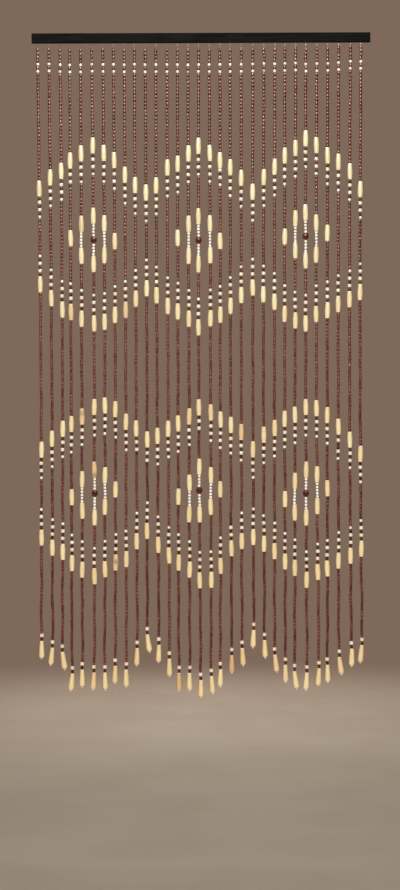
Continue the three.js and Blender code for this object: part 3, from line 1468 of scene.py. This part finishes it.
@dataclass
class Threads:
    """The threads that carry the beads, and the knots that stop them under the batten.

    Attributes:
        half_width: half width of a thread.
        sides: faces round a thread.
        step: about how long a face of it is.
        root: how far a thread reaches up into the strip.
        short: how far it stops above the string's end.
        thread_tones: tones of the first and the last thread, from the left.
        knot_drop: how far below the batten a knot lies.
        knot_height: height of a knot.
        knot_fill: the most of the bare thread that it takes up, as a share.
        knot_ring: radius of the ring that the knot is wound on.
        knot_wave: how far its thread swings in and out from that ring, as a share.
        knot_turn: radians that the last knot is turned from the first.
        knot_thread: half width of the thread in the knot.
        knot_steps: rings along a knot's thread.
        knot_tones: tones of the first and the last knot, from the left.
        knot_stray: how far a knot's tone strays from theirs, as a standard deviation.
        knot_key: sets the knots' draw apart.
        fibre: the threads' finish.
    """

    half_width: float = 0.0006
    sides: int = 6
    step: float = 0.012
    root: float = 0.003
    short: float = 0.0006
    thread_tones: Span = (0.1, 0.3)
    knot_drop: float = 0.0055
    knot_height: float = 0.005
    knot_fill: float = 0.85
    knot_ring: float = 0.0009
    knot_wave: float = 0.5
    knot_turn: float = 40.0
    knot_thread: float = 0.00055
    knot_steps: int = 48
    knot_tones: Span = (0.1, 0.95)
    knot_stray: float = 0.1
    knot_key: int = 7
    fibre: Fibre = Fibre("thread_fibre")

    def build(self, stringing: Stringing) -> list[bpy.types.Object]:
        """Makes the threads and their knots.

        Args:
            stringing: the strings in their places.

        Returns:
            The new pieces.
        """
        material = self.fibre.material()
        made = [self.threads(stringing), self.knots(stringing)]
        return [settle(piece, material) for piece in made]

    def threads(self, stringing: Stringing) -> bpy.types.Object:
        """Carries a circle down each hanging line.

        Args:
            stringing: the strings in their places.

        Returns:
            All the threads as one piece.
        """
        count = int(np.ceil(CURTAIN_DEPTH / self.step))
        share = np.linspace(0.0, 1.0, count + 1)
        angle = np.linspace(0.0, 2 * np.pi, self.sides, endpoint=False)
        ring = self.half_width * np.stack((np.cos(angle), -np.sin(angle), 0 * angle), axis=-1)
        start = RAIL_HEIGHT - self.root
        paths = [
            line.points(start + (end - self.short - start) * share)
            for line, end in zip(stringing.lines, stringing.ends)
        ]
        rings = np.array(paths)[:, :, None] + ring
        tone = np.linspace(*self.thread_tones, len(paths))
        return ring_mesh("threads", rings, False, {"tone": tone}, np.full(count, self.step))

    def knots(self, stringing: Stringing) -> bpy.types.Object:
        """Ties a trefoil round each thread.

        Its thread's middle lies at radius r = ring * (1 + wave * cos 3t), angle 2t and height
        reach * sin 3t, and the thread's own circle stands on the ring's outward direction.

        Args:
            stringing: the strings in their places.

        Returns:
            All the knots as one piece.
        """
        lobes, rounds = 3, 2
        t = np.linspace(0.0, 2 * np.pi, self.knot_steps, endpoint=False)
        bare = np.array([line.row.thread for line in stringing.lines]) * MM
        height = np.minimum(self.knot_height, self.knot_fill * bare)
        reach = (height / 2 - self.knot_thread)[:, None]
        radius = self.knot_ring * (1 + self.knot_wave * np.cos(lobes * t))
        turned = rounds * t + np.linspace(0.0, self.knot_turn, len(bare))[:, None]
        out = np.stack((np.cos(turned), np.sin(turned), 0 * turned), axis=-1)
        wound = radius[:, None] * out
        wound[..., 2] = reach * np.sin(lobes * t)
        depth = RAIL_HEIGHT + np.minimum(self.knot_drop, bare / 2)
        middle = np.array([line.points(np.array((d,)))[0] for line, d in zip(stringing.lines, depth)])
        path = middle[:, None] + wound
        way = unit(np.roll(path, -1, axis=1) - np.roll(path, 1, axis=1))
        across = unit(np.cross(way, out))
        first = np.cross(across, way)
        angle = np.linspace(0.0, 2 * np.pi, self.sides, endpoint=False)[:, None]
        circle = np.cos(angle) * first[:, :, None] + np.sin(angle) * np.cross(way, first)[:, :, None]
        rings = path[:, :, None] + self.knot_thread * circle
        stray = clipped(np.random.default_rng((SEED, self.knot_key)), self.knot_stray, bare.shape)
        tone = np.clip(np.linspace(*self.knot_tones, len(bare)) + stray, 0.0, 1.0)
        return ring_mesh("root_knots", rings, True, {"tone": tone}, np.ones(self.knot_steps))


def tones(spots: Spots, low: float, high: float, key: int) -> np.ndarray:
    """Draws a tone for each bead.

    Args:
        spots: the beads.
        low: the least tone.
        high: the greatest.
        key: sets this draw apart from the others.

    Returns:
        The tones.
    """
    return np.random.default_rng((SEED, key)).uniform(low, high, len(spots.number))


@dataclass
class RedGround:
    """The small red beads that fill the strings between the patterns.

    Attributes:
        turning: the bead.
        play: how unevenly they sit.
        lacquer: their finish.
        middle_tone: their middle tone.
        own_spread: how far a bead's own tone strays from it near the batten.
        calm: share of that which is gone at the foot.
        string_spread: how far a whole string's tone strays near the batten.
        slack: how many times more it strays at the foot.
        fade: how much lighter the beads are at the foot.
        patches: how far the tone strays there in patches of several beads.
        patch_length: least and greatest length of two such patches.
        tone_key: sets the first third's draw of tones apart. The others' keys follow.
        string_key: sets the draw for whole strings apart.
    """

    turning: Turning = Turning(length=0.0092, top=0.0027, belly=0.0040, bottom=0.0027)
    play: Play = Play(girth=0.04, tilt=0.05, shift=0.0003)
    # the red beads keep the lacquer's painted shade towards their ends
    lacquer: Lacquer = Lacquer("red_lacquer", shade(66, 27, 20), shade(103, 48, 38), shade(143, 80, 64))
    middle_tone: float = 0.68
    own_spread: float = 0.28
    calm: float = 0.6
    string_spread: float = 0.06
    slack: float = 3.2
    fade: float = 0.08
    patches: float = 0.22
    patch_length: Span = (0.04, 0.11)
    tone_key: int = 100
    string_key: int = 50

    def build(self, stringing: Stringing) -> list[bpy.types.Object]:
        """Makes the red beads of each third of the curtain.

        Args:
            stringing: the strings in their places.

        Returns:
            The new pieces.
        """
        material = self.lacquer.material()
        pieces = []
        for index, panel in enumerate(Panel):
            spots = stringing.spots(Bead.RED, tuple(Zone), panel)
            marks = {"tone": self.tone(spots, self.tone_key + index)}
            name = f"red_beads_{panel.name.lower()}"
            beads = turned_beads(name, self.turning, self.play, spots, marks)
            pieces.append(settle(beads, material))
        return pieces

    def tone(self, spots: Spots, key: int) -> np.ndarray:
        """Draws the beads' tones. Lower down, neighbours differ less and strings differ more.

        Args:
            spots: where they sit.
            key: sets their draw apart.

        Returns:
            The tones, middle + fade * down + own * (1 - calm * down) + string * (1 + slack * down)
            + patches * down * sin(2 pi * depth / patch length + phase), no further than 0 and 1.
        """
        down = spots.share_down()
        own = tones(spots, -self.own_spread, self.own_spread, key)
        strings = len(CHART)
        draw = np.random.default_rng((SEED, self.string_key))
        batches = draw.uniform(-self.string_spread, self.string_spread, strings)
        lengths = draw.uniform(*self.patch_length, strings)
        phases = draw.uniform(0.0, 2 * np.pi, strings)
        index = spots.number - 1
        turns = 2 * np.pi * CURTAIN_DEPTH * down / lengths[index] + phases[index]
        middle = self.middle_tone + self.fade * down + self.patches * down * np.sin(turns)
        tone = middle + own * (1 - self.calm * down) + batches[index] * (1 + self.slack * down)
        return np.clip(tone, 0.0, 1.0)


@dataclass
class PatternBeads:
    """The beads that draw the pattern: crown, zigzag lines, diamonds and hem.

    Attributes:
        white: the round white bead.
        seed: the small white bead of the diamonds.
        spacer: the dark bead between the pale ones.
        barrel: the short pale bead of the zigzag lines.
        cuff: the squarer one above a drop.
        long: the long pale bead.
        heart: the round bead in a diamond's middle.
        drop: the drop that ends a string.
        tip: the stop bead under it.
        snug: how unevenly the larger beads sit.
        loose: how unevenly the small ones sit.
        pale_tones: least and greatest tone of the pale beads at the batten.
        gold_long: what the foot adds to the tone of the long beads and drops.
        gold_barrel: what it adds to that of the barrels.
        tan_top: the pale beads' tint at the batten.
        tan_foot: what the foot adds to it.
        tan_stray_top: how far a bead's tint strays at the batten, as a standard deviation.
        tan_stray_foot: what the foot adds to that.
        tan_key: sets the draw of that stray apart from the tones' one.
        white_tones: least and greatest tone of the white beads.
        spacer_tones: least and greatest tone of the spacers at the batten.
        spacer_shade_down: what the foot takes off it, a painted shade that grows lower down.
        heart_tones: least and greatest tone of the hearts.
        tip_tones: least and greatest tone of the tips.
        tip_tints: least and greatest tint of the tips.
    """

    white: Turning = Turning(0.0085, 0.0015, 0.0040, 0.0015, around=10)
    seed: Turning = Turning(0.0080, 0.0017, 0.0040, 0.0017, around=10)
    spacer: Turning = Turning(0.0094, 0.0024, 0.0040, 0.0024, rise=2.3, fall=2.3)
    barrel: Turning = Turning(0.0092, 0.0034, 0.0054, 0.0034, rise=2.6, fall=2.6, around=10)
    cuff: Turning = Turning(0.0093, 0.0044, 0.0054, 0.0036, peak=0.4, rise=2.6, fall=2.6, around=10)
    long: Turning = Turning(
        0.0427, 0.0053, 0.0071, 0.0053, rise=1.4, fall=1.4, rim=0.0006, around=20, down=10
    )
    heart: Turning = Turning(0.0176, 0.0030, 0.0086, 0.0030, rim=0.0005, around=24, down=12)
    drop: Turning = Turning(
        0.0455, 0.0050, 0.0077, 0.0052, peak=0.86, rise=1.15, rim=0.0008, around=20, down=14
    )
    tip: Turning = Turning(0.0043, 0.0010, 0.0022, 0.0010, bore=0.0008, dimple=0.0002, around=10)
    snug: Play = Play(girth=0.02, tilt=0.012, shift=0.0002)
    loose: Play = Play(girth=0.03, tilt=0.05, shift=0.0002)
    pale_tones: Span = (-0.1, 0.2)
    gold_long: float = 0.6
    gold_barrel: float = 0.2
    tan_top: float = 0.04
    tan_foot: float = 0.13
    tan_stray_top: float = 0.03
    tan_stray_foot: float = 0.08
    tan_key: int = 1
    white_tones: Span = (0.0, 0.8)
    spacer_tones: Span = (0.15, 0.65)
    spacer_shade_down: float = 0.12
    heart_tones: Span = (0.2, 0.8)
    tip_tones: Span = (0.6, 1.0)
    tip_tints: Span = (0.0, 0.5)

    def __post_init__(self) -> None:
        """Mixes the finishes that several runs share."""
        self.wood = PaleWood("pale_wood").material()
        self.bleached = PaleWood(
            "bleached_wood", shade(243, 233, 214), shade(228, 200, 166), tan=shade(220, 164, 124)
        ).material()
        self.glaze = WhiteGlaze("white_glaze").material()
        # the spacers' stain keeps the lacquer's painted shade towards their ends
        self.stain = Lacquer(
            "dark_stain",
            shade(56, 28, 8),
            shade(88, 54, 26),
            shade(124, 88, 54),
            roughness=Fade(0.35, 0.65, 0.45, 0.3),
            gloss=0.4,
        ).material()

    def build(self, stringing: Stringing) -> list[bpy.types.Object]:
        """Makes the pattern's beads.

        Args:
            stringing: the strings in their places.

        Returns:
            The new pieces.
        """
        return [
            *self.crown(stringing),
            *self.zigzags(stringing),
            *self.diamonds(stringing),
            *self.hem(stringing),
        ]

    def pale(
        self, name: str, turning: Turning, spots: Spots, zone: Zone, key: int, bleached: bool = False
    ) -> bpy.types.Object:
        """Makes pale wooden beads, more golden and more tanned towards the foot.

        With down for the share of the curtain's drop, a bead's tone is a draw + gold * down, and its tint
        top + foot * down + stray, or an odd bead's own tint where that is greater.

        Args:
            name: the piece's name.
            turning: the bead.
            spots: where they sit.
            zone: the part of the pattern.
            key: sets their draws apart.
            bleached: whether they have the barrels' paler wood.

        Returns:
            The piece.
        """
        down = spots.share_down()
        draw = np.random.default_rng((SEED, key, self.tan_key))
        stray = clipped(draw, 1.0, down.shape) * (self.tan_stray_top + self.tan_stray_foot * down)
        tint = np.clip(self.tan_top + self.tan_foot * down + stray, 0.0, 1.0)
        gold = self.gold_barrel if bleached else self.gold_long
        marks = {
            "tone": np.clip(tones(spots, *self.pale_tones, key) + gold * down, 0.0, 1.0),
            "tint": np.maximum(tint, spots.odd(zone, "tint")),
            "figure": spots.odd(zone, "figure"),
            "height": spots.odd(zone, "height"),
        }
        beads = turned_beads(name, turning, self.snug, spots, marks)
        return settle(beads, self.bleached if bleached else self.wood)

    def glossy(
        self, name: str, turning: Turning, spots: Spots, zone: Zone, key: int
    ) -> bpy.types.Object:
        """Makes glossy white beads.

        Args:
            name: the piece's name.
            turning: the bead.
            spots: where they sit.
            zone: the part of the pattern.
            key: sets their draw of tones apart.

        Returns:
            The piece.
        """
        marks = {"tone": tones(spots, *self.white_tones, key), "tint": spots.odd(zone, "tint")}
        beads = turned_beads(name, turning, self.loose, spots, marks)
        return settle(beads, self.glaze)

    def dark(self, name: str, spots: Spots, key: int) -> bpy.types.Object:
        """Makes the dark spacers, browner near the top and darker lower down as painted shade.

        Args:
            name: the piece's name.
            spots: where they sit.
            key: sets their draw of tones apart.

        Returns:
            The piece.
        """
        # painted light: the tone falls with depth, lighter where the lamps are nearer
        tone = tones(spots, *self.spacer_tones, key) - self.spacer_shade_down * spots.share_down()
        marks = {"tone": np.clip(tone, 0.0, 1.0)}
        beads = turned_beads(name, self.spacer, self.loose, spots, marks)
        return settle(beads, self.stain)

    def crown(self, stringing: Stringing) -> list[bpy.types.Object]:
        """Makes the two rows of white beads under the batten.

        Args:
            stringing: the strings in their places.

        Returns:
            The new piece.
        """
        zone = Zone.CROWN
        whites = stringing.spots(Bead.WHITE, (zone,))
        return [self.glossy("crown_white_beads", self.white, whites, zone, key=1)]

    def zigzags(self, stringing: Stringing) -> list[bpy.types.Object]:
        """Makes the four zigzag lines.

        Args:
            stringing: the strings in their places.

        Returns:
            The new pieces.
        """
        zone = Zone.ZIGZAG
        kinds = (Bead.LONG, Bead.BARREL, Bead.BLACK, Bead.WHITE)
        longs, barrels, spacers, whites = (stringing.spots(kind, (zone,)) for kind in kinds)
        return [
            self.pale("zigzag_long_beads", self.long, longs, zone, key=2),
            self.pale("zigzag_barrels", self.barrel, barrels, zone, key=3, bleached=True),
            self.dark("zigzag_spacers", spacers, key=4),
            self.glossy("zigzag_white_beads", self.white, whites, zone, key=5),
        ]

    def diamonds(self, stringing: Stringing) -> list[bpy.types.Object]:
        """Makes the six diamonds.

        Args:
            stringing: the strings in their places.

        Returns:
            The new pieces.
        """
        zone = Zone.DIAMOND
        kinds = (Bead.LONG, Bead.SEED, Bead.HEART)
        longs, seeds, hearts = (stringing.spots(kind, (zone,)) for kind in kinds)
        cherry = Lacquer(
            "cherry_lacquer",
            shade(54, 11, 12),
            shade(80, 18, 18),
            shade(106, 28, 27),
            # painted shade: the hearts darken towards their holes, less than the small beads
            ends=Fade(0.15, 0.42, 1.0, 0.6),
            roughness=Fade(0.35, 0.65, 0.22, 0.15),
            gloss=1.0,
            gleam=(1.0, 0.5, 0.46),
            coat=0.5,
            coat_roughness=0.1,
            relief=Relief(0.04),
        ).material()
        marks = {"tone": tones(hearts, *self.heart_tones, key=6)}
        round_beads = turned_beads("diamond_hearts", self.heart, self.snug, hearts, marks)
        return [
            self.pale("diamond_long_beads", self.long, longs, zone, key=7),
            self.glossy("diamond_seed_beads", self.seed, seeds, zone, key=8),
            settle(round_beads, cherry),
        ]

    def hem(self, stringing: Stringing) -> list[bpy.types.Object]:
        """Makes the beads that end the strings.

        Args:
            stringing: the strings in their places.

        Returns:
            The new pieces.
        """
        zone = Zone.HEM
        kinds = (Bead.BARREL, Bead.BLACK, Bead.DROP, Bead.TIP)
        cuffs, spacers, drops, tips = (stringing.spots(kind, (zone,)) for kind in kinds)
        marks = {
            "tone": tones(tips, *self.tip_tones, key=9),
            "tint": tones(tips, *self.tip_tints, key=13),
        }
        stop_beads = turned_beads("hem_tips", self.tip, self.loose, tips, marks)
        return [
            self.pale("hem_barrels", self.cuff, cuffs, zone, key=10, bleached=True),
            self.dark("hem_spacers", spacers, key=11),
            self.pale("hem_drops", self.drop, drops, zone, key=12),
            settle(stop_beads, self.glaze),
        ]


@dataclass(frozen=True)
class Lamp:
    """A soft light.

    Attributes:
        name: its name.
        place: where it stands.
        size: its width and height.
        power: its power in watts.
        aim: the height on the curtain's middle line that it is aimed at.
        mirrored: whether glossy surfaces show it.
        lighting: whether it lights matt surfaces.
        colour: its colour.
    """

    name: str
    place: tuple[float, float, float]
    size: Span
    power: float
    aim: float = 0.0
    mirrored: bool = True
    lighting: bool = True
    colour: Colour = (1.0, 0.98, 0.95)

    def build(self) -> bpy.types.Object:
        """Sets up the light, hidden from the camera.

        Returns:
            The light.
        """
        data = bpy.data.lights.new(self.name, "AREA")
        data.shape = "RECTANGLE"
        data.size, data.size_y = self.size
        data.energy = self.power
        data.color = self.colour
        lamp = bpy.data.objects.new(self.name, data)
        bpy.context.scene.collection.objects.link(lamp)
        lamp.location = self.place
        sight = Vector((0.0, 0.0, self.aim)) - Vector(self.place)
        lamp.rotation_euler = sight.to_track_quat("-Z", "Y").to_euler()
        lamp.visible_camera = False
        lamp.visible_glossy = self.mirrored
        lamp.visible_diffuse = self.lighting
        return lamp


@dataclass
class Studio:
    """The camera, the lights, the pale floor and the plain backdrop.

    Attributes:
        eye: the camera's place.
        pitch: degrees that it looks down.
        roll: degrees that its right side is lowered.
        lens: its focal length for a 36 mm sensor on the long side.
        floor_depth: how far the floor lies below the batten's top.
        floor_radius: the floor's radius.
        floor_sides: sides of its rim.
        floor_finish: its finish.
        backdrop: the backdrop's colour.
        ambient: colour of the light from all sides.
        ambient_power: its strength.
        lamps: the lights.
    """

    eye: tuple[float, float, float] = (-0.0063, -6.01, -0.8486)
    pitch: float = 2.241
    roll: float = 0.2
    lens: float = 90.67
    floor_depth: float = 2.189
    floor_radius: float = 4.0
    floor_sides: int = 96
    floor_finish: PaleFloor = PaleFloor("pale_floor")
    backdrop: Colour = shade(126, 105, 90)
    ambient: Colour = (1.0, 0.8, 0.66)
    ambient_power: float = 0.12
    lamps: tuple[Lamp, ...] = (
        Lamp("key_light", (-0.1, -1.3, 0.35), (1.1, 0.2), power=6.0),
        Lamp("glint_light", (-0.1, -1.3, 0.35), (1.1, 0.2), power=66.0, lighting=False),
        Lamp("ceiling_light", (0.0, -0.9, 1.0), (1.1, 0.3), power=24.0, aim=-0.8, lighting=False),
        Lamp("rear_light", (0.1, 1.4, 1.0), (1.3, 0.3), power=20.0, aim=-0.4),
        Lamp("front_fill", (0.0, -4.0, -1.2), (2.5, 2.5), power=182.0, aim=-1.0, mirrored=False),
        Lamp("rear_fill", (0.0, 4.0, -1.2), (2.5, 2.5), power=130.0, aim=-1.0, mirrored=False),
    )

    def build(self) -> None:
        """Sets up the camera, the lights, the world and the floor."""
        self.camera()
        self.world()
        self.floor()
        for lamp in self.lamps:
            lamp.build()
        bpy.context.scene.view_settings.view_transform = "Standard"

    def camera(self) -> None:
        """Aims the camera: it looks along +Y, pitched down, then rolled about its line of sight."""
        pitch, roll = np.radians((self.pitch, self.roll))
        ahead = Vector((0.0, np.cos(pitch), -np.sin(pitch)))
        level = Vector((1.0, 0.0, 0.0))
        upright = Vector((0.0, np.sin(pitch), np.cos(pitch)))
        right = level * np.cos(roll) - upright * np.sin(roll)
        up = upright * np.cos(roll) + level * np.sin(roll)
        data = bpy.data.cameras.new("camera")
        data.lens = self.lens
        camera = bpy.data.objects.new("camera", data)
        bpy.context.scene.collection.objects.link(camera)
        turn = Matrix((right, up, -ahead)).transposed().to_4x4()
        camera.matrix_world = Matrix.Translation(self.eye) @ turn
        bpy.context.scene.camera = camera

    def world(self) -> None:
        """Fills the room with even light, and shows the backdrop's colour behind everything."""
        world = bpy.data.worlds.new("studio")
        bpy.context.scene.world = world
        world.use_nodes = True
        nodes, links = world.node_tree.nodes, world.node_tree.links
        light = nodes["Background"]
        light.inputs["Color"].default_value = (*self.ambient, 1.0)
        light.inputs["Strength"].default_value = self.ambient_power
        wall = nodes.new("ShaderNodeBackground")
        wall.inputs["Color"].default_value = (*self.backdrop, 1.0)
        seen = nodes.new("ShaderNodeLightPath")
        either = nodes.new("ShaderNodeMixShader")
        links.new(seen.outputs["Is Camera Ray"], either.inputs[0])
        links.new(light.outputs[0], either.inputs[1])
        links.new(wall.outputs[0], either.inputs[2])
        links.new(either.outputs[0], nodes["World Output"].inputs["Surface"])

    def floor(self) -> None:
        """Lays a round floor: its rim lies at radius * (cos a, sin a), and fades into the backdrop."""
        angle = np.linspace(0.0, 2 * np.pi, self.floor_sides, endpoint=False)
        rim = np.stack((np.cos(angle), np.sin(angle), 0 * angle), axis=-1) * self.floor_radius
        rim[:, 2] = RAIL_TOP - self.floor_depth
        mesh = bpy.data.meshes.new("floor")
        mesh.from_pydata(rim.tolist(), [], [list(range(len(rim)))])
        floor = bpy.data.objects.new("floor", mesh)
        bpy.context.scene.collection.objects.link(floor)
        mesh.materials.append(self.floor_finish.material())


def main() -> None:
    """Builds the curtain's looks in order and reports each piece."""
    logging.basicConfig(level=logging.INFO, format="%(message)s")
    Studio().build()
    stringing = Stringing()
    pieces = [
        *Batten().build(),
        *Threads().build(stringing),
        *RedGround().build(stringing),
        *PatternBeads().build(stringing),
    ]
    total = 0
    for piece in pieces:
        piece.data.calc_loop_triangles()
        triangles = len(piece.data.loop_triangles)
        total += triangles
        LOG.info("%s: %d triangles, finish %s", piece.name, triangles, piece.data.materials[0].name)
    LOG.info("%d pieces, %d triangles", len(pieces), total)


if __name__ == "__main__":
    main()
